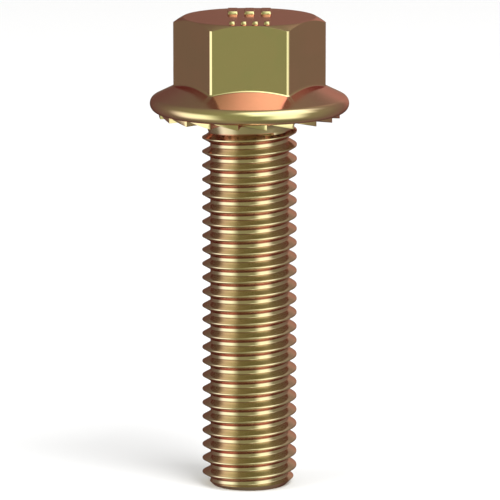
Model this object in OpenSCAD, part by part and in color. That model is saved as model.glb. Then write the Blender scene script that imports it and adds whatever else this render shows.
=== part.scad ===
// Hex flange bolt with ratchet serrations under the flange, threaded up to the head.
// It stands on its threaded end: the origin is the centre of the end face and +Z runs
// along the axis towards the head. Two flats of the hexagon face -Y and +Y.

/* [Thread] */
// Major diameter of the thread
thread_d = 10; // [9:0.5:11]
// Distance from one crest to the next
pitch = 1.5; // [1.25:0.05:1.75]
// Length from the end face to the bearing face of the flange
shank_len = 40; // [20:1:45]
// Diameter of the flat end face, where the 45 degree point chamfer starts
point_d = 7.9; // [7:0.1:8.2]
// Height of the first crest above the end face, on the +X side
first_crest = 0.48; // [0:0.02:1]
// Height over which the groove fades out below the flange
runout_len = 2.55; // [1.5:0.05:4]
// Plain length left between the run-out and the bearing face
neck_len = 0.55; // [0.4:0.05:1]
// Leg of the 45 degree fillet between the neck and the flange
neck_fillet = 0.4; // [0.2:0.1:0.4]

/* [Flange] */
// Outer diameter of the flange
flange_d = 21; // [20.4:0.1:22]
// Radius of the fully rounded rim
rim_r = 0.88; // [0.7:0.02:1]
// Slope of the flange's top, in degrees
flange_slope = 26; // [20:1:30]

/* [Serrations] */
// Number of ratchet teeth under the flange
tooth_count = 20; // [12:1:24]
// Depth of a tooth below the bearing face
tooth_h = 0.6; // [0.3:0.05:0.8]
// Diameter across the outer ends of the teeth
tooth_outer_d = 19.1; // [17:0.1:19.2]
// Diameter across the inner ends of the teeth
tooth_inner_d = 13; // [12:0.5:15]
// Turn of the first tooth's steep face from the -Y side, in degrees
tooth_turn = 10.9; // [0:0.1:18]
// Flat land between a steep face and the next ramp, in degrees
tooth_land = 0.6; // [0.4:0.2:2]

/* [Head] */
// Width across the flats of the hexagon
across_flats = 14; // [13:0.5:14.5]
// Diameter of the round blank, which flattens the six corners
blank_d = 16; // [15.5:0.1:16]
// Height from the bearing face to the top of the head
head_h = 10; // [8:0.5:12]
// Slope of the chamfer around the top, in degrees
chamfer_slope = 30; // [15:1:35]

/* [Marks on the head] */
// Height of the raised marks above the top
mark_h = 0.3; // [0.1:0.05:0.5]
// Number of raised bars in the row behind the middle
bar_count = 3; // [1:1:4]
// Length of a bar
bar_length = 3.2; // [1.6:0.1:3.6]
// Width of a bar, its ends are half round
bar_width = 1.2; // [0.4:0.1:1.4]
// Number of round studs in the row along the front
stud_count = 4; // [1:1:5]
// Diameter of a stud
stud_d = 0.8; // [0.4:0.1:0.8]

/* [Hidden] */
$fn = 96;

plating = [0.72, 0.6, 0.3];
steps = 36;
overlap = 0.3;

thread_r = thread_d / 2;
// The groove of a 60 degree thread, 17/24 of the sharp triangle's height
thread_depth = 17 / 24 * sqrt(3) / 2 * pitch;
// Edges of the crest and of the root: [height from the crest in pitches, share of the depth]
thread_form = [[-1 / 16, 0], [1 / 16, 0], [5 / 12, 1], [7 / 12, 1]];
rows = len(thread_form);
turns = ceil((shank_len + overlap) / pitch) + 3;
last_row = turns * rows - 1;
runout_top = shank_len - neck_len;
point_h = thread_r - point_d / 2;

rim_centre = [flange_d / 2 - rim_r, shank_len + rim_r];
rim_top = rim_centre + rim_r * [sin(flange_slope), cos(flange_slope)];
cone_top_r = across_flats / 2 - 1;
cone_top_z = rim_top[1] + (rim_top[0] - cone_top_r) * tan(flange_slope);
head_top = shank_len + head_h;
chamfer_h = head_h - rim_r;

tooth_pitch = 360 / tooth_count;
tooth_steps = 4;
// The ramp starts a hair inside the flange, and the tooth's roof lies deeper in it
ramp_start_z = shank_len + 0.02;
tooth_roof_z = shank_len + 0.15;

bar_spacing = 1.75;
bar_row_y = 3.4;
stud_spacing = 1.2;
stud_row_y = -5.6;

// Height of row k on the column at step j, before the ends are trimmed
function row_z(j, k) = first_crest + pitch
    * (j / steps + floor(k / rows) - 2 + thread_form[k % rows][0]);

// First and last rows of a column that count: the ends of the shank lie on them
function low_row(j) = max([for (k = [0:last_row]) if (row_z(j, k) <= 0) k]);
function high_row(j) = min([for (k = [0:last_row]) if (row_z(j, k) >= shank_len + overlap) k]);
lows = [for (j = [0:steps - 1]) low_row(j)];
highs = [for (j = [0:steps - 1]) high_row(j)];

// The groove is full up to the run-out and fades to nothing at its top
function groove(z) = min(1, max(0, (runout_top - z) / runout_len));

function thread_point(j, k) =
    let (z = min(max(row_z(j, k), 0), shank_len + overlap),
         r = thread_r - thread_depth * thread_form[k % rows][1] * groove(z),
         a = 360 * j / steps)
    [r * cos(a), r * sin(a), z];

// Index of a point. Past the last column the helix goes on at the first one, a turn higher
function at(j, k) = j == steps ? at(0, k + rows)
    : j * (last_row + 1) + min(max(k, lows[j]), highs[j]);

function distinct(f) = f[0] != f[1] && f[1] != f[2] && f[0] != f[2];

// Shank with its helical groove, from the end face into the flange
module thread() {
    points = [for (j = [0:steps - 1]) for (k = [0:last_row]) thread_point(j, k)];
    skin = [for (j = [0:steps - 1]) for (k = [0:last_row - 1])
        let (a = at(j, k), b = at(j + 1, k), c = at(j + 1, k + 1), d = at(j, k + 1))
        for (f = [[a, d, c], [a, c, b]]) if (distinct(f)) f];
    bottom = [for (j = [0:steps - 1]) at(j, 0)];
    top = [for (j = [steps - 1:-1:0]) at(j, last_row)];
    intersection() {
        polyhedron(points, concat(skin, [bottom, top]), convexity = 10);
        point_envelope();
    }
}

// Everything inside the 45 degree chamfer of the threaded end
module point_envelope() {
    rise = point_h + overlap;
    cylinder(h = rise, r1 = point_d / 2, r2 = point_d / 2 + rise);
    translate([0, 0, rise - 0.01])
        cylinder(h = shank_len + 1, r = point_d / 2 + rise);
}

// Short cone between the plain neck and the bearing face
module neck() {
    reach = neck_fillet + overlap;
    translate([0, 0, shank_len - reach])
        cylinder(h = 2 * reach, r1 = thread_r - overlap, r2 = thread_r - overlap + 2 * reach);
}

// Flange with a flat bearing face, a rounded rim and a conical top
module flange() {
    rotate_extrude() {
        translate(rim_centre) circle(r = rim_r);
        polygon([[0, shank_len], [rim_centre[0], shank_len], rim_top,
                 [cone_top_r, cone_top_z], [0, cone_top_z]]);
    }
}

// Six-sided head, its corners left round by the blank and its top edge chamfered
module hex_head() {
    translate([0, 0, shank_len + rim_r])
        intersection() {
            cylinder(h = chamfer_h, d = across_flats / cos(30), $fn = 6);
            cylinder(h = chamfer_h, d = blank_d);
            cylinder(h = chamfer_h, r1 = across_flats / 2 + chamfer_h / tan(chamfer_slope),
                     r2 = across_flats / 2);
        }
}

// One ratchet tooth: its underside ramps down to a steep radial face at angle 0
module tooth() {
    radii = [tooth_inner_d / 2, tooth_outer_d / 2];
    tip_z = shank_len - tooth_h;
    points = [for (i = [0:tooth_steps]) for (r = radii)
        let (done = i / tooth_steps,
             a = (tooth_land - tooth_pitch) * (1 - done),
             z = ramp_start_z + (tip_z - ramp_start_z) * done)
        for (h = [z, tooth_roof_z]) [r * cos(a), r * sin(a), h]];
    sides = [for (i = [0:tooth_steps - 1]) let (p = 4 * i, q = p + 4)
        for (f = [[p, q + 2, q], [p, p + 2, q + 2],
                  [p + 1, q + 3, p + 3], [p + 1, q + 1, q + 3],
                  [p, q + 1, p + 1], [p, q, q + 1],
                  [p + 2, q + 3, q + 2], [p + 2, p + 3, q + 3]]) f];
    e = 4 * tooth_steps;
    polyhedron(points, concat(sides, [[0, 1, 3, 2], [e, e + 2, e + 3, e + 1]]), convexity = 4);
}

module serrations() {
    for (i = [0:tooth_count - 1])
        rotate([0, 0, tooth_turn - 90 + i * tooth_pitch]) tooth();
}

// A raised bar with round ends, its length along Y
module bar() {
    straight = bar_length - bar_width;
    linear_extrude(mark_h + overlap) {
        square([bar_width, straight], center = true);
        for (side = [-1, 1]) translate([0, side * straight / 2]) circle(d = bar_width);
    }
}

// A row of bars behind the middle of the head and a row of studs along its front
module head_marks() {
    translate([0, 0, head_top - overlap]) {
        for (i = [0:bar_count - 1])
            translate([(i - (bar_count - 1) / 2) * bar_spacing, bar_row_y, 0])
                bar();
        for (i = [0:stud_count - 1])
            translate([(i - (stud_count - 1) / 2) * stud_spacing, stud_row_y, 0])
                cylinder(h = mark_h + overlap, d = stud_d);
    }
}

module flange_bolt() {
    color(plating) {
        thread();
        neck();
        flange();
        hex_head();
        serrations();
        head_marks();
    }
}

flange_bolt();
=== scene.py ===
# A hex flange bolt in yellow zinc plating, standing on its threaded end.
# The bolt is worked in millimetres and brought to metres at the end.
import math

import bmesh
import bpy
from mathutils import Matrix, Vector


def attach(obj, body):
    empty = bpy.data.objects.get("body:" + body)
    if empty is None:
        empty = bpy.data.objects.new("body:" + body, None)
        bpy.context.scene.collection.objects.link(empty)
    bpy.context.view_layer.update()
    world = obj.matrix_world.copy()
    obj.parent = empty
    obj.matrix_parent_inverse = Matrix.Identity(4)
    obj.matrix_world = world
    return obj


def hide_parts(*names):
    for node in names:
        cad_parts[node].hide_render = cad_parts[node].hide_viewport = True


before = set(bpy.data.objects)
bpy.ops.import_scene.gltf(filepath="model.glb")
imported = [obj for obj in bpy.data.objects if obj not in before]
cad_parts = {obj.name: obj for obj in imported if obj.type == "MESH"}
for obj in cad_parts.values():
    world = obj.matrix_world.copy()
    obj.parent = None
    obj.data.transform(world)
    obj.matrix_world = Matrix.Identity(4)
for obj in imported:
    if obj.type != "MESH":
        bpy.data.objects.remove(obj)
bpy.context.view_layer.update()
print("frame loaded:", sorted(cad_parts))

mm = 0.001


# Camera

camera = {
    "lens": 359.83,      # mm
    "sensor": 36.0,      # mm
    "distance": 527.85,  # mm from the point it looks at
    "elevation": 10.49,  # degrees above the floor
    "aimHeight": 25.16,  # mm above the floor
    "shift": 0.00101,    # of the picture's width
    "nearest": 0.01,     # m
    "farthest": 50.0,    # m
}


def addCamera(sizes):
    tilt = math.radians(sizes["elevation"])
    aim = Vector((0, 0, sizes["aimHeight"]))
    away = Vector((0, -math.cos(tilt), math.sin(tilt)))
    bpy.ops.object.camera_add(location=(aim + away * sizes["distance"]) * mm)
    made = bpy.context.object
    made.rotation_euler = (math.pi / 2 - tilt, 0, 0)
    made.data.lens = sizes["lens"]
    made.data.sensor_width = sizes["sensor"]
    made.data.shift_x = sizes["shift"]
    made.data.clip_start = sizes["nearest"]
    made.data.clip_end = sizes["farthest"]
    bpy.context.scene.camera = made


bpy.ops.object.select_all(action="DESELECT")
addCamera(camera)
print("camera placed")


# Small tools for the bench

weldGap = 0.0005     # mm, points closer than this become one
latheSteps = 192     # steps round a turned shape
overcut = 1.0        # mm by which a cutting shape stands past the work


def only(thing):
    bpy.ops.object.select_all(action="DESELECT")
    thing.select_set(True)
    bpy.context.view_layer.objects.active = thing


def inEditMode(thing):
    only(thing)
    bpy.ops.object.mode_set(mode="EDIT")


def leaveEditMode():
    bpy.ops.object.mode_set(mode="OBJECT")


def selectEdges(thing, wanted):
    # call in edit mode: selects the edges for which wanted says yes
    mesh = bmesh.from_edit_mesh(thing.data)
    bpy.ops.mesh.select_mode(type="EDGE")
    bpy.ops.mesh.select_all(action="DESELECT")
    found = [edge for edge in mesh.edges if wanted(edge)]
    for edge in found:
        edge.select_set(True)
    bmesh.update_edit_mesh(thing.data)
    return len(found)


def rise(edge):
    return abs(edge.verts[0].co.z - edge.verts[1].co.z)


def bend(edge):
    # degrees between the two faces of an edge
    return math.degrees(edge.calc_face_angle()) if edge.is_manifold else 0


def applyModifier(thing, kind, **settings):
    only(thing)
    modifier = thing.modifiers.new(kind.lower(), kind)
    for name, value in settings.items():
        setattr(modifier, name, value)
    bpy.ops.object.modifier_apply(modifier=modifier.name)


def combine(thing, tool, how):
    # boolean with a tool that is used up
    applyModifier(thing, "BOOLEAN", object=tool, operation=how, solver="EXACT")
    bpy.data.objects.remove(tool)


def copies(thing, count):
    # each copy has a mesh of its own, and the pattern that they come from goes
    made = []
    for k in range(count):
        copy = thing.copy()
        copy.data = thing.data.copy()
        bpy.context.collection.objects.link(copy)
        made.append(copy)
    bpy.data.objects.remove(thing)
    return made


def joined(things):
    only(things[0])
    for thing in things:
        thing.select_set(True)
    bpy.ops.object.join()
    bpy.ops.object.transform_apply()
    return bpy.context.object


def tidyMesh(thing):
    inEditMode(thing)
    bpy.ops.mesh.select_all(action="SELECT")
    bpy.ops.mesh.remove_doubles(threshold=weldGap)
    bpy.ops.mesh.normals_make_consistent(inside=False)
    leaveEditMode()


def roundedOutline(corners):
    # corners are (radius from the axis, height, rounding, steps of the rounding)
    points = []
    for i, (x, z, rounding, steps) in enumerate(corners):
        here = Vector((x, z))
        if not rounding:
            points.append(here)
            continue
        before = (Vector(corners[i - 1][:2]) - here).normalized()
        after = (Vector(corners[i + 1][:2]) - here).normalized()
        half = before.angle(after) / 2
        reach = rounding / math.tan(half)
        centre = here + (before + after).normalized() * rounding / math.sin(half)
        first, last = here + before * reach - centre, here + after * reach - centre
        swing = first.angle_signed(last)
        for k in range(steps + 1):
            turn = -swing * k / steps
            points.append(centre + Vector((
                first.x * math.cos(turn) - first.y * math.sin(turn),
                first.x * math.sin(turn) + first.y * math.cos(turn))))
    return points


def drawOutline(name, points):
    # one vertex, extruded from point to point in the XZ plane
    bpy.ops.mesh.primitive_plane_add(size=1)
    drawn = bpy.context.object
    drawn.name = name
    inEditMode(drawn)
    bpy.ops.mesh.select_mode(type="VERT")
    bpy.ops.mesh.select_all(action="SELECT")
    bpy.ops.mesh.merge(type="CENTER")
    bpy.ops.transform.translate(value=(points[0].x, 0, points[0].y))
    for a, b in zip(points, points[1:]):
        bpy.ops.mesh.extrude_region_move(TRANSFORM_OT_translate={"value": (b.x - a.x, 0, b.y - a.y)})
    leaveEditMode()
    return drawn


def turned(name, corners):
    # a shape turned on a lathe: its outline starts and ends on the axis
    made = drawOutline(name, roundedOutline(corners))
    applyModifier(made, "SCREW", steps=latheSteps, render_steps=latheSteps, use_merge_vertices=True,
                  merge_threshold=weldGap)
    tidyMesh(made)
    return made


# Thread

thread = {
    "radius": 5.0,
    "pitch": 1.5,
    "depth": 0.86,
    "crestWidth": 0.14,
    "crestRounding": 0.06,
    "rootWidth": 0.375,
    "rootRounding": 0.12,
    "roundingSteps": 4,
    "firstCrest": 0.48,     # height of a crest on the +X side
    "stepsPerTurn": 96,
    "lastTurn": 25.0,       # the ridge is whole up to here, counted in turns from the first crest
    "fadeTurns": 0.45,      # and sinks into the neck over this much more
    "neckRadius": 4.3,
    "neckFlare": 0.3,       # how much the neck widens for each mm upwards
    "neckSwell": 0.4,       # how much wider the neck is where the last groove ends
    "swellTurns": 0.3,      # turns over which it swells
    "neckLimit": 4.9,
    "neckFull": 39.35,      # height at which the neck has reached that limit all round
    "neckRise": 0.35,       # mm over which it gets there
    "endRadius": 3.95,
    "endRounding": 0.06,
    "top": 40.3,
}


def smoothStep(value, start, end):
    share = min(1, max(0, (value - start) / (end - start)))
    return share * share * (3 - 2 * share)


def runOutRadius(sizes, reach, turn, height, ridge):
    # radius of the surface if this ridge is the last one; turn goes from 0 to 1 round the bolt
    pitch, limit = sizes["pitch"], sizes["neckLimit"]
    above = height - sizes["firstCrest"] - (ridge + turn) * pitch
    if above <= 0:
        return reach
    flank = sizes["radius"] - max(0, above - sizes["crestWidth"] / 2) * math.sqrt(3)
    swell = sizes["neckSwell"] * smoothStep(ridge + turn, sizes["lastTurn"] - sizes["swellTurns"],
                                            sizes["lastTurn"])
    neck = min(limit, sizes["neckRadius"] + swell + sizes["neckFlare"] * (above - pitch / 3))
    neck += (limit - neck) * smoothStep(height, sizes["neckFull"] - sizes["neckRise"], sizes["neckFull"])
    return max(reach if above < pitch / 2 else flank, neck)


def rollThread(sizes):
    pitch, crest, top = sizes["pitch"], sizes["radius"], sizes["top"]
    root = crest - sizes["depth"]
    halfCrest, halfRoot = sizes["crestWidth"] / 2, sizes["rootWidth"] / 2
    middle = (pitch / 2 - halfRoot + halfCrest) / 2
    fine = sizes["roundingSteps"]
    # from the middle of one root to the middle of the next, with the crest between them
    shank = drawOutline("shank", roundedOutline([
        (root, -pitch / 2, 0, 0),
        (root, -pitch / 2 + halfRoot, sizes["rootRounding"], fine),
        ((root + crest) / 2, -middle, 0, 0),
        (crest, -halfCrest, sizes["crestRounding"], fine),
        (crest, halfCrest, sizes["crestRounding"], fine),
        ((root + crest) / 2, middle, 0, 0),
        (root, pitch / 2 - halfRoot, sizes["rootRounding"], fine),
        (root, pitch / 2, 0, 0),
    ]))
    # two turns start below the end face and some run on above the top
    turns = math.ceil(top / pitch) + 3
    inEditMode(shank)
    bpy.ops.mesh.select_all(action="SELECT")
    bpy.ops.transform.translate(value=(0, 0, sizes["firstCrest"] - 2 * pitch))
    leaveEditMode()
    steps = sizes["stepsPerTurn"]
    applyModifier(shank, "SCREW", steps=steps, render_steps=steps, screw_offset=pitch,
                  iterations=turns, use_merge_vertices=False)
    tidyMesh(shank)
    # cut off what lies below the end face and above the top, and close both
    for height, below in ((0, True), (top, False)):
        inEditMode(shank)
        bpy.ops.mesh.select_all(action="SELECT")
        bpy.ops.mesh.bisect(plane_co=(0, 0, height), plane_no=(0, 0, 1), use_fill=True,
                            clear_inner=below, clear_outer=not below, threshold=0.0001)
        leaveEditMode()
    # the last ridge sinks into the neck below the flange
    last = math.floor(sizes["lastTurn"])
    for vertex in shank.data.vertices:
        here = vertex.co
        if here.z < sizes["firstCrest"] + (last - 1) * pitch:
            continue
        reach = math.hypot(here.x, here.y)
        turn = math.atan2(here.y, here.x) / math.tau % 1
        wanted = runOutRadius(sizes, reach, turn, here.z, last - 1)
        sunk = smoothStep(turn, 0, sizes["fadeTurns"])
        if sunk < 1:
            whole = runOutRadius(sizes, reach, turn, here.z, last)
            wanted = whole + (wanted - whole) * sunk
        here.x *= wanted / reach
        here.y *= wanted / reach
    # the 45 degree point
    end, wide, high = sizes["endRadius"], crest + overcut, top + overcut
    point = turned("pointTool", [
        (0, 0, 0, 0), (end, 0, sizes["endRounding"], 2), (wide, wide - end, 0, 0),
        (wide, high, 0, 0), (0, high, 0, 0)])
    combine(shank, point, "INTERSECT")
    tidyMesh(shank)
    return shank


shank = rollThread(thread)
print("thread rolled:", len(shank.data.polygons), "faces")


# Flange and hexagon

flange = {
    "bearingHeight": 40.0,
    "radius": 10.48,
    "rimRadius": 0.88,
    "rimSteps": 22,
    "slope": 26.0,
    "neckRadius": 4.885,    # a hair inside the shank's neck
    "neckFoot": 0.05,       # how far that neck runs on below its fillet
    "neckFillet": 0.45,
    "filletSteps": 6,
    "innerRadius": 5.5,     # where the cone ends, inside the hexagon
}


def turnFlange(sizes):
    low, rim = sizes["bearingHeight"], sizes["rimRadius"]
    slope = math.radians(sizes["slope"])
    fillet, neck, inner = sizes["neckFillet"], sizes["neckRadius"], sizes["innerRadius"]
    centre = Vector((sizes["radius"] - rim, low + rim))
    # the rim's rounding runs from the underside up to the cone
    sweep = math.pi - slope
    rimPoints = []
    for k in range(sizes["rimSteps"] + 1):
        turn = -math.pi / 2 + sweep * k / sizes["rimSteps"]
        rimPoints.append(centre + rim * Vector((math.cos(turn), math.sin(turn))))
    shoulder = rimPoints[-1]
    innerHeight = shoulder.y + (shoulder.x - inner) * math.tan(slope)
    foot = low - fillet - sizes["neckFoot"]
    return turned("flange", [(0, foot, 0, 0), (neck, foot, 0, 0), (neck, low, fillet, sizes["filletSteps"])]
                  + [(spot.x, spot.y, 0, 0) for spot in rimPoints]
                  + [(inner, innerHeight, 0, 0), (0, innerHeight, 0, 0)])


hexagon = {
    "acrossFlats": 14.0,
    "blankRadius": 8.0,      # the corners are what is left of the round blank
    "bottom": 41.0,
    "top": 50.0,
    "spare": 1.0,            # left on top for the chamfer to cut away
    "chamferSlope": 30.0,
    "chamferDepth": 1.2,     # the chamfer's edges lie no deeper than this below the top
    "chamferBend": 20.0,     # degrees, the least bend at an edge of the chamfer
    "chamferEdge": 0.06,
    "topRounding": 0.3,
    "roundingSteps": 5,
    "cornerEdge": 0.05,
    "fillet": 0.16,          # reach of the fillet onto the cone and onto the flats
    "foot": (42.2, 44.0),    # heights between which the hexagon meets the cone
    "footSlack": 0.1,        # how far the foot's edges may lie inside the flats or outside the blank
    "footBend": 30.0,        # degrees, the least bend at an edge of the foot
}


def cutHexagon(sizes):
    bottom, top, spare = sizes["bottom"], sizes["top"], sizes["spare"]
    tall = top - bottom
    half, blank = sizes["acrossFlats"] / 2, sizes["blankRadius"]
    corner = half / math.cos(math.pi / 6)
    bpy.ops.mesh.primitive_cylinder_add(vertices=6, radius=corner, depth=tall + spare,
                                        location=(0, 0, bottom + (tall + spare) / 2),
                                        rotation=(0, 0, math.pi / 6))
    head = bpy.context.object
    head.name = "head"
    bpy.ops.object.transform_apply()
    # the blank's strip at each corner, then its two fine edges
    strip = corner / 2 - math.sqrt(blank ** 2 - half ** 2)
    inEditMode(head)
    selectEdges(head, lambda edge: rise(edge) > tall)
    bpy.ops.mesh.bevel(offset=strip, segments=1)
    selectEdges(head, lambda edge: rise(edge) > tall)
    bpy.ops.mesh.bevel(offset=sizes["cornerEdge"], segments=2, clamp_overlap=False)
    leaveEditMode()
    # the chamfer is turned, so it is round
    wide, low = blank + 2 * overcut, bottom - overcut
    slope = math.tan(math.radians(sizes["chamferSlope"]))
    chamfer = turned("chamferTool", [
        (0, low, 0, 0), (wide, low, 0, 0), (wide, top - (wide - half) * slope, 0, 0),
        (half, top, sizes["topRounding"], sizes["roundingSteps"]), (0, top, 0, 0)])
    combine(head, chamfer, "INTERSECT")
    tidyMesh(head)
    # fine edge between the chamfer and the flats
    lowest = top - sizes["chamferDepth"]
    inEditMode(head)
    selectEdges(head, lambda edge: edge.verts[0].co.z > lowest and bend(edge) > sizes["chamferBend"])
    bpy.ops.mesh.bevel(offset=sizes["chamferEdge"], segments=2, clamp_overlap=True)
    leaveEditMode()
    tidyMesh(head)
    return head


def filletHexagon(head, sizes):
    # the hollow corner where the flats and corner strips meet the cone
    nearest = sizes["acrossFlats"] / 2 - sizes["footSlack"]
    farthest = sizes["blankRadius"] + sizes["footSlack"]
    lowest, highest = sizes["foot"]

    def atTheFoot(edge):
        middle = (edge.verts[0].co + edge.verts[1].co) / 2
        return (lowest < middle.z < highest and nearest < math.hypot(middle.x, middle.y) < farthest
                and bend(edge) > sizes["footBend"] and not edge.is_convex)

    inEditMode(head)
    found = selectEdges(head, atTheFoot)
    bpy.ops.mesh.bevel(offset=sizes["fillet"], segments=4, clamp_overlap=False)
    leaveEditMode()
    tidyMesh(head)
    print("fillet around the hexagon's foot:", found, "edges")


flangePiece = turnFlange(flange)
headPiece = cutHexagon(hexagon)
print("flange turned and hexagon cut")
combine(headPiece, flangePiece, "UNION")
tidyMesh(headPiece)
filletHexagon(headPiece, hexagon)


# Serrations under the flange

serrations = {
    "count": 20,
    "outerRadius": 9.55,
    "innerRadius": 6.5,
    "depth": 0.6,
    "land": 0.6,       # degrees of flat before a ramp
    "turn": 10.9,      # degrees from -Y to the first steep face
    "steps": 8,        # along a ramp
    "bury": 0.12,      # how deep a tooth stands in the flange
    "overrun": 0.02,   # how deep in the flange its ramp starts
    "edge": 0.04,
    "edgeBend": 25.0,  # degrees, the least bend of an edge that is rounded
}


def formTeeth(sizes, low):
    share = 360 / sizes["count"]
    sweep = math.radians(share - sizes["land"])
    inner, outer = sizes["innerRadius"], sizes["outerRadius"]
    depth, bury = sizes["depth"], sizes["bury"]
    tall = depth + bury
    # a radial face, swept back from the steep side, then its underside is ramped
    bpy.ops.mesh.primitive_plane_add(size=1, location=((inner + outer) / 2, 0, low + bury - tall / 2),
                                     rotation=(math.pi / 2, 0, 0))
    tooth = bpy.context.object
    tooth.scale = (outer - inner, tall, 1)
    bpy.ops.object.transform_apply()
    inEditMode(tooth)
    bpy.ops.mesh.select_all(action="SELECT")
    bpy.ops.mesh.spin(steps=sizes["steps"], angle=sweep, center=(0, 0, 0), axis=(0, 0, 1))
    leaveEditMode()
    for vertex in tooth.data.vertices:
        here = vertex.co
        if here.z < low:
            back = abs(math.atan2(here.y, here.x)) / sweep
            here.z += (depth + sizes["overrun"]) * min(1, back)
    tidyMesh(tooth)
    applyModifier(tooth, "BEVEL", width=sizes["edge"], segments=2, limit_method="ANGLE",
                  angle_limit=math.radians(sizes["edgeBend"]))
    ring = copies(tooth, sizes["count"])
    for k, copy in enumerate(ring):
        copy.rotation_euler.z = math.radians(sizes["turn"] - 90 + k * share)
    return joined(ring)


combine(headPiece, formTeeth(serrations, flange["bearingHeight"]), "UNION")
print("teeth formed:", serrations["count"])


# Plain raised marks on the head

marks = {
    "height": 0.3,
    "bury": 0.3,          # how deep a mark stands in the head
    "bars": 3,
    "barLength": 3.2,
    "barWidth": 1.25,
    "barSpacing": 1.75,
    "barRow": 3.4,
    "studs": 4,
    "studWidth": 0.8,
    "studSpacing": 1.2,
    "studRow": -5.6,
    "cornerRadius": 0.22,
    "draft": 0.1,         # how far each side leans in on its way up
    "rounding": 0.04,
}


def raisePad(width, length, row, sizes, top):
    # a square stub, pulled long along Y, its sides leaning in, its corners and upper edge rounded
    height, bury = sizes["height"], sizes["bury"]
    bpy.ops.mesh.primitive_cube_add(size=1, location=(0, row, top + (height - bury) / 2))
    pad = bpy.context.object
    pad.scale = (width, length, height + bury)
    bpy.ops.object.transform_apply()
    for vertex in pad.data.vertices:
        if vertex.co.z > top:
            vertex.co.x -= math.copysign(sizes["draft"], vertex.co.x)
            vertex.co.y -= math.copysign(sizes["draft"], vertex.co.y - row)
    inEditMode(pad)
    selectEdges(pad, lambda edge: rise(edge) > bury)
    bpy.ops.mesh.bevel(offset=sizes["cornerRadius"], segments=5)
    selectEdges(pad, lambda edge: all(v.co.z > top for v in edge.verts))
    bpy.ops.mesh.bevel(offset=sizes["rounding"], segments=2)
    leaveEditMode()
    return pad


def raiseRow(count, spacing, row, width, length, sizes, top):
    made = copies(raisePad(width, length, row, sizes, top), count)
    for k, pad in enumerate(made):
        pad.location.x = (k - (count - 1) / 2) * spacing
    return made


def raiseMarks(sizes, top):
    bars = raiseRow(sizes["bars"], sizes["barSpacing"], sizes["barRow"],
                    sizes["barWidth"], sizes["barLength"], sizes, top)
    studs = raiseRow(sizes["studs"], sizes["studSpacing"], sizes["studRow"],
                     sizes["studWidth"], sizes["studWidth"], sizes, top)
    return joined(bars + studs)


combine(headPiece, raiseMarks(marks, hexagon["top"]), "UNION")
print("marks raised")


# One bolt

smoothAngle = 30     # degrees, a sharper bend stays an edge

combine(headPiece, shank, "UNION")
bolt = headPiece
bolt.name = "flangeBolt"
bolt.data.name = "flangeBolt"
tidyMesh(bolt)
inEditMode(bolt)
bpy.ops.mesh.select_all(action="SELECT")
bpy.ops.mesh.dissolve_degenerate(threshold=weldGap)
leaveEditMode()
bolt.scale = (mm, mm, mm)
only(bolt)
bpy.ops.object.transform_apply()
bpy.ops.object.shade_smooth_by_angle(angle=math.radians(smoothAngle))
for face in bolt.data.polygons:
    if face.normal.z < -0.9999 and face.center.z < 0.01 * mm:
        face.use_smooth = False      # the end face stays dead flat
applyModifier(bolt, "WEIGHTED_NORMAL", keep_sharp=True)
print("bolt joined:", len(bolt.data.polygons), "faces,",
      sum(len(p.vertices) - 2 for p in bolt.data.polygons), "triangles")


# Small tools for the materials

def newGroup(name, given, made):
    group = bpy.data.node_groups.new(name, "ShaderNodeTree")
    for direction, sockets in (("INPUT", given), ("OUTPUT", made)):
        for socket, kind in sockets:
            group.interface.new_socket(socket, in_out=direction, socket_type="NodeSocket" + kind)
    return group, group.nodes.new("NodeGroupInput"), group.nodes.new("NodeGroupOutput")


def feed(tree, socket, value):
    # a socket takes either a link or a plain number
    if isinstance(value, (int, float)):
        socket.default_value = value
    else:
        tree.links.new(value, socket)


def compute(tree, operation, *values):
    step = tree.nodes.new("ShaderNodeMath")
    step.operation = operation
    for socket, value in zip(step.inputs, values):
        feed(tree, socket, value)
    return step.outputs[0]


def ramp(tree, value, zeroAt, oneAt, smooth=False):
    step = tree.nodes.new("ShaderNodeMapRange")
    step.interpolation_type = "SMOOTHSTEP" if smooth else "LINEAR"
    feed(tree, step.inputs["Value"], value)
    feed(tree, step.inputs["From Min"], zeroAt)
    feed(tree, step.inputs["From Max"], oneAt)
    return step.outputs["Result"]


def noise(tree, place, scale, detail, distortion=0):
    step = tree.nodes.new("ShaderNodeTexNoise")
    step.inputs["Detail"].default_value = detail
    step.inputs["Distortion"].default_value = distortion
    feed(tree, step.inputs["Vector"], place)
    feed(tree, step.inputs["Scale"], scale)
    return step.outputs["Fac"]


# Plating

plating = {
    # colour of the film seen square on, at an angle and at a glance
    "headFilm": ((0.74, 0.70, 0.33), (0.67, 0.44, 0.34), (0.92, 0.60, 0.70)),
    "threadFilm": ((0.72, 0.655, 0.365), (0.64, 0.50, 0.41), (0.78, 0.61, 0.60)),   # thinner and paler
    "edgeTint": (0.76, 0.42, 0.39),
    "thickFilm": (0.86, 0.97, 0.92),   # what a thicker film does to the colour
    "mottle": 0.35,                    # how much of the surface's cloudiness shows
    "mottleSize": 4.0,                 # mm
    "mottleDetail": 3,
    "mottleSwirl": 0.6,
    "mottleEdges": (0.35, 0.68),       # values of the noise where a cloud starts and is full
    "roughness": 0.13,
    "dullness": 0.06,                  # added where the film is cloudy or marked
    "dullFrom": (0.4, 0.6),            # shares of it from clouds and from scratches
    "markSize": 1.1,                   # mm
    "markDepth": 0.0008,               # mm
    "lineShare": 0.5,                  # depth of the forming lines, as a share of that
    "dieLine": 0.12,                   # mm from one line of the trimming die to the next
    "rollingLine": 0.1,                # mm from one line of the rolling dies to the next
    "dieStretch": 0.05,                # how fast the pattern changes along the lines, 1 being across them
    "rollingStretch": 0.04,
    "lineDetail": 2,
}

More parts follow.
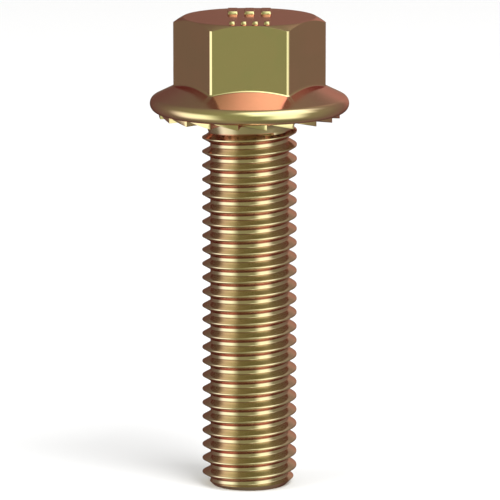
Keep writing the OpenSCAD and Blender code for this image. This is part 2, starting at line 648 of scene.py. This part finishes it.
tumbling = {
    # sizes are shares of the marks' size, depths are shares of their depth
    "scratchSize": 2.0,
    "scratchWidth": 0.006,             # of the noise's range
    "stretchSize": 1.0,                # a scratch shows over stretches of about this size
    "stretchEdges": (0.52, 0.65),      # values of the noise where a stretch starts and is full
    "dentSize": 0.8,
    "dentDepth": 0.6,
}


def filmCloudGroup(sizes):
    # soft clouds in the chromate film, and the colour that they give it
    group, given, made = newGroup(
        "filmCloud",
        [("Vector", "Vector"), ("Size", "Float"), ("Amount", "Float"), ("Film", "Color"),
         ("Thick Film", "Color")],
        [("Color", "Color"), ("Cloud", "Float")])
    fog = noise(group, given.outputs["Vector"], compute(group, "DIVIDE", 1, given.outputs["Size"]),
                sizes["mottleDetail"], sizes["mottleSwirl"])
    cloud = ramp(group, fog, *sizes["mottleEdges"], smooth=True)
    tint = group.nodes.new("ShaderNodeMix")
    tint.data_type = "RGBA"
    tint.blend_type = "MULTIPLY"
    feed(group, tint.inputs["Factor"], compute(group, "MULTIPLY", cloud, given.outputs["Amount"]))
    feed(group, tint.inputs["A"], given.outputs["Film"])
    feed(group, tint.inputs["B"], given.outputs["Thick Film"])
    feed(group, made.inputs["Color"], tint.outputs["Result"])
    feed(group, made.inputs["Cloud"], cloud)
    return group


def tumbleMarkGroup(sizes):
    # short fine scratches and dents from tumbling in the barrel
    group, given, made = newGroup(
        "tumbleMarks",
        [("Vector", "Vector"), ("Size", "Float")],
        [("Height", "Float"), ("Dull", "Float")])

    def grain(size, detail):
        scale = compute(group, "DIVIDE", 1 / size, given.outputs["Size"])
        return noise(group, given.outputs["Vector"], scale, detail)

    # a scratch runs where a smooth noise passes through its middle, and only short stretches are kept
    offMiddle = compute(group, "ABSOLUTE", compute(group, "SUBTRACT", grain(sizes["scratchSize"], 0), 0.5))
    scratch = compute(group, "MULTIPLY", ramp(group, offMiddle, sizes["scratchWidth"], 0),
                      ramp(group, grain(sizes["stretchSize"], 1), *sizes["stretchEdges"]))
    dents = compute(group, "MULTIPLY", grain(sizes["dentSize"], 2), sizes["dentDepth"])
    feed(group, made.inputs["Height"], compute(group, "SUBTRACT", dents, scratch))
    feed(group, made.inputs["Dull"], scratch)
    return group


filmCloud = filmCloudGroup(plating)
tumbleMarks = tumbleMarkGroup(tumbling)


def dieLines(tree, place, sizes):
    # the trimming die leaves fine upright lines on the head
    stretch = tree.nodes.new("ShaderNodeMapping")
    stretch.inputs["Scale"].default_value = (1, 1, sizes["dieStretch"])
    feed(tree, stretch.inputs["Vector"], place)
    return noise(tree, stretch.outputs[0], 1 / (sizes["dieLine"] * mm), sizes["lineDetail"])


def rollingLines(tree, place, sizes):
    # the rolling dies leave fine lines that run along the thread
    parts = tree.nodes.new("ShaderNodeSeparateXYZ")
    feed(tree, parts.inputs[0], place)
    x, y, z = parts.outputs
    pitch = thread["pitch"] * mm
    turn = compute(tree, "DIVIDE", compute(tree, "ARCTAN2", y, x), math.tau)
    climb = compute(tree, "DIVIDE", compute(tree, "SUBTRACT", z, thread["firstCrest"] * mm), pitch)
    across = compute(tree, "FRACT", compute(tree, "SUBTRACT", climb, turn))
    # across the groove the pattern changes fast, and slowly along it
    rolled = tree.nodes.new("ShaderNodeCombineXYZ")
    feed(tree, rolled.inputs["X"], compute(tree, "MULTIPLY", across, pitch))
    feed(tree, rolled.inputs["Y"], compute(tree, "MULTIPLY", x, sizes["rollingStretch"]))
    feed(tree, rolled.inputs["Z"], compute(tree, "MULTIPLY", y, sizes["rollingStretch"]))
    return noise(tree, rolled.outputs[0], 1 / (sizes["rollingLine"] * mm), sizes["lineDetail"])


def platingMaterial(name, filmColours, formingLines, sizes):
    made = bpy.data.materials.new(name)
    made.use_nodes = True
    tree = made.node_tree
    nodes = tree.nodes
    shader = nodes["Principled BSDF"]
    shader.inputs["Metallic"].default_value = 1
    shader.inputs["Specular Tint"].default_value = sizes["edgeTint"] + (1,)
    place = nodes.new("ShaderNodeTexCoord").outputs["Object"]
    # the film turns from straw to copper as the surface turns away
    facing = nodes.new("ShaderNodeLayerWeight")
    film = nodes.new("ShaderNodeValToRGB")
    stops = film.color_ramp.elements
    stops.new(0.5)
    for stop, colour in zip(stops, filmColours):
        stop.color = colour + (1,)
    feed(tree, film.inputs["Fac"], facing.outputs["Facing"])
    cloud = nodes.new("ShaderNodeGroup")
    cloud.node_tree = filmCloud
    cloud.inputs["Size"].default_value = sizes["mottleSize"] * mm
    cloud.inputs["Amount"].default_value = sizes["mottle"]
    cloud.inputs["Thick Film"].default_value = sizes["thickFilm"] + (1,)
    feed(tree, cloud.inputs["Vector"], place)
    feed(tree, cloud.inputs["Film"], film.outputs["Color"])
    feed(tree, shader.inputs["Base Color"], cloud.outputs["Color"])
    tumble = nodes.new("ShaderNodeGroup")
    tumble.node_tree = tumbleMarks
    tumble.inputs["Size"].default_value = sizes["markSize"] * mm
    feed(tree, tumble.inputs["Vector"], place)
    # clouds and scratches are a little duller than the rest
    fromClouds, fromScratches = sizes["dullFrom"]
    worn = compute(tree, "ADD", compute(tree, "MULTIPLY", tumble.outputs["Dull"], fromScratches),
                   compute(tree, "MULTIPLY", cloud.outputs["Cloud"], fromClouds))
    feed(tree, shader.inputs["Roughness"],
         compute(tree, "ADD", compute(tree, "MULTIPLY", worn, sizes["dullness"]), sizes["roughness"]))
    lines = compute(tree, "MULTIPLY", formingLines(tree, place, sizes), sizes["lineShare"])
    bump = nodes.new("ShaderNodeBump")
    bump.inputs["Strength"].default_value = 1
    bump.inputs["Distance"].default_value = sizes["markDepth"] * mm
    feed(tree, bump.inputs["Height"], compute(tree, "ADD", tumble.outputs["Height"], lines))
    feed(tree, shader.inputs["Normal"], bump.outputs["Normal"])
    return made


bolt.data.materials.clear()
bolt.data.materials.append(platingMaterial("headPlating", plating["headFilm"], dieLines, plating))
bolt.data.materials.append(platingMaterial("threadPlating", plating["threadFilm"], rollingLines, plating))
threadTop = (flange["bearingHeight"] - flange["neckFillet"]) * mm
for face in bolt.data.polygons:
    reach = math.hypot(face.center.x, face.center.y)
    face.material_index = int(face.center.z < threadTop and reach < flange["innerRadius"] * mm)
print("plating on the head and on the thread")
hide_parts("flange_bolt")
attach(bolt, "root")


# Floor

scene = bpy.context.scene
scene.view_settings.view_transform = "Standard"

sheet = {
    "size": 8.0,     # m
    "colour": 0.86,
    "roughness": 0.9,
}

bpy.ops.mesh.primitive_plane_add(size=sheet["size"])
floor = bpy.context.object
floor.name = "floor"
floorPaint = bpy.data.materials.new("palePaper")
floorPaint.use_nodes = True
paper = floorPaint.node_tree.nodes["Principled BSDF"]
paper.inputs["Base Color"].default_value = (sheet["colour"],) * 3 + (1,)
paper.inputs["Roughness"].default_value = sheet["roughness"]
floor.data.materials.append(floorPaint)
# the floor stays out of the bolt's reflections, which show the painted tent instead
floor.visible_glossy = False
print("floor laid")


# A glowing sphere around the bolt that only its gloss sees, a painted reflection backdrop: warm grey, with
# painted white windows that make the bolt's highlights and painted lighter and darker patches

tent = {
    "radius": 3.0,               # m
    "paintedBackdrop": (0.345, 0.32, 0.23),
    "darkest": 0.4,              # share of the painted backdrop's brightness that is left anywhere
    # azimuth and elevation of the middle, half width, half height and softness in degrees,
    # then the brightness that a painted window adds, or the share by which a painted patch lightens or
    # darkens the backdrop
    "paintedWindows": [
        (-69, -14, 25, 25, 15, 1.4),
        (44, -3, 20, 26, 13, 1.3),
        (42, 32, 42, 13, 9, 1.2),
        (47, 58, 58, 10, 23, 3.0),
    ],
    # painted patches: those below zero paint darker reflections, such as the dark rims along the bolt's
    # edges, those above zero paint lighter ones
    "paintedPatches": [
        (163, 9, 14, 17, 12, 1.0),
        (142, 42, 8, 12, 9, 0.5),
        (208, -20, 43, 80, 40, -0.4),
        (145, -35, 50, 40, 28, -0.2),
        (180, -22, 22, 16, 8, -0.3),
        (45, -62, 60, 17, 14, -0.35),
    ],
}


def paintedWindowGroup():
    # brightness of one painted window in the reflections: whole in the middle and fading across its four
    # edges
    group, given, made = newGroup(
        "paintedWindowGlow",
        [(name, "Float") for name in ("Azimuth", "Elevation", "Middle Azimuth", "Middle Elevation",
                                      "Half Width", "Half Height", "Softness", "Strength")],
        [("Light", "Float")])
    light = given.outputs["Strength"]
    softness = given.outputs["Softness"]
    for angle, middle, half in (("Azimuth", "Middle Azimuth", "Half Width"),
                                ("Elevation", "Middle Elevation", "Half Height")):
        off = compute(group, "SUBTRACT", given.outputs[angle], given.outputs[middle])
        off = compute(group, "ABSOLUTE", compute(group, "WRAP", off, 180, -180))
        edge = ramp(group, off, compute(group, "ADD", given.outputs[half], softness),
                    compute(group, "SUBTRACT", given.outputs[half], softness), smooth=True)
        light = compute(group, "MULTIPLY", light, edge)
    feed(group, made.inputs["Light"], light)
    return group


def paintReflectionTent(sizes):
    bpy.ops.mesh.primitive_uv_sphere_add(segments=32, ring_count=16, radius=sizes["radius"],
                                         location=(0, 0, 0))
    paintedBackdrop = bpy.context.object
    paintedBackdrop.name = "paintedReflectionTent"
    paint = bpy.data.materials.new("paintedReflectionGlow")
    paint.use_nodes = True
    paint.cycles.emission_sampling = "NONE"
    tree = paint.node_tree
    nodes = tree.nodes
    nodes.clear()
    unit = nodes.new("ShaderNodeVectorMath")
    unit.operation = "NORMALIZE"
    feed(tree, unit.inputs[0], nodes.new("ShaderNodeTexCoord").outputs["Object"])
    parts = nodes.new("ShaderNodeSeparateXYZ")
    feed(tree, parts.inputs[0], unit.outputs[0])
    x, y, z = parts.outputs
    # azimuth is counted from -Y towards +X
    front = compute(tree, "MULTIPLY", y, -1)
    azimuth = compute(tree, "DEGREES", compute(tree, "ARCTAN2", x, front))
    elevation = compute(tree, "DEGREES", compute(tree, "ARCSINE", z))
    window = paintedWindowGroup()

    def addUp(rows, total):
        for values in rows:
            one = nodes.new("ShaderNodeGroup")
            one.node_tree = window
            for socket, value in zip(one.inputs, (azimuth, elevation) + values):
                feed(tree, socket, value)
            total = compute(tree, "ADD", one.outputs["Light"], total)
        return total

    # the painted backdrop's colour, lightened or darkened by the painted patches, with the painted windows'
    # highlights on top
    share = compute(tree, "MAXIMUM", addUp(sizes["paintedPatches"], 1), sizes["darkest"])
    colour = nodes.new("ShaderNodeVectorMath")
    colour.operation = "MULTIPLY_ADD"
    colour.inputs[0].default_value = sizes["paintedBackdrop"]
    feed(tree, colour.inputs[1], share)
    feed(tree, colour.inputs[2], addUp(sizes["paintedWindows"], 0))
    glow = nodes.new("ShaderNodeEmission")
    feed(tree, glow.inputs["Color"], colour.outputs[0])
    out = nodes.new("ShaderNodeOutputMaterial")
    feed(tree, out.inputs["Surface"], glow.outputs[0])
    paintedBackdrop.data.materials.append(paint)
    # it glows only in the bolt's reflections: camera, diffuse, shadow and other rays pass it by
    for ray in ("camera", "diffuse", "transmission", "shadow", "volume_scatter"):
        setattr(paintedBackdrop, "visible_" + ray, False)


paintReflectionTent(tent)
print("tent pitched")


# Lamps

lamps = {
    # name: azimuth from -Y towards +X, elevation, distance in m, size in m, watts
    "keyLamp": (40, 50, 1.2, 0.9, 14),
    "sideLamp": (-65, 40, 1.2, 0.9, 6),
}
daylight = 0.6     # grey of the light from all round


def towards(azimuth, elevation):
    a, e = math.radians(azimuth), math.radians(elevation)
    return Vector((math.sin(a) * math.cos(e), -math.cos(a) * math.cos(e), math.sin(e)))


for name, (azimuth, elevation, distance, size, power) in lamps.items():
    away = towards(azimuth, elevation)
    bpy.ops.object.light_add(type="AREA", location=away * distance)
    lamp = bpy.context.object
    lamp.name = name
    lamp.data.shape = "DISK"
    lamp.data.size = size
    lamp.data.energy = power
    lamp.rotation_euler = away.to_track_quat("Z", "Y").to_euler()
    lamp.visible_camera = False
    # the lamps stay out of the bolt's reflections: its highlights are the painted windows of the tent
    lamp.visible_glossy = False

world = bpy.data.worlds.new("studio")
scene.world = world
world.use_nodes = True
world.node_tree.nodes["Background"].inputs["Color"].default_value = (daylight,) * 3 + (1,)
print("lamps lit")
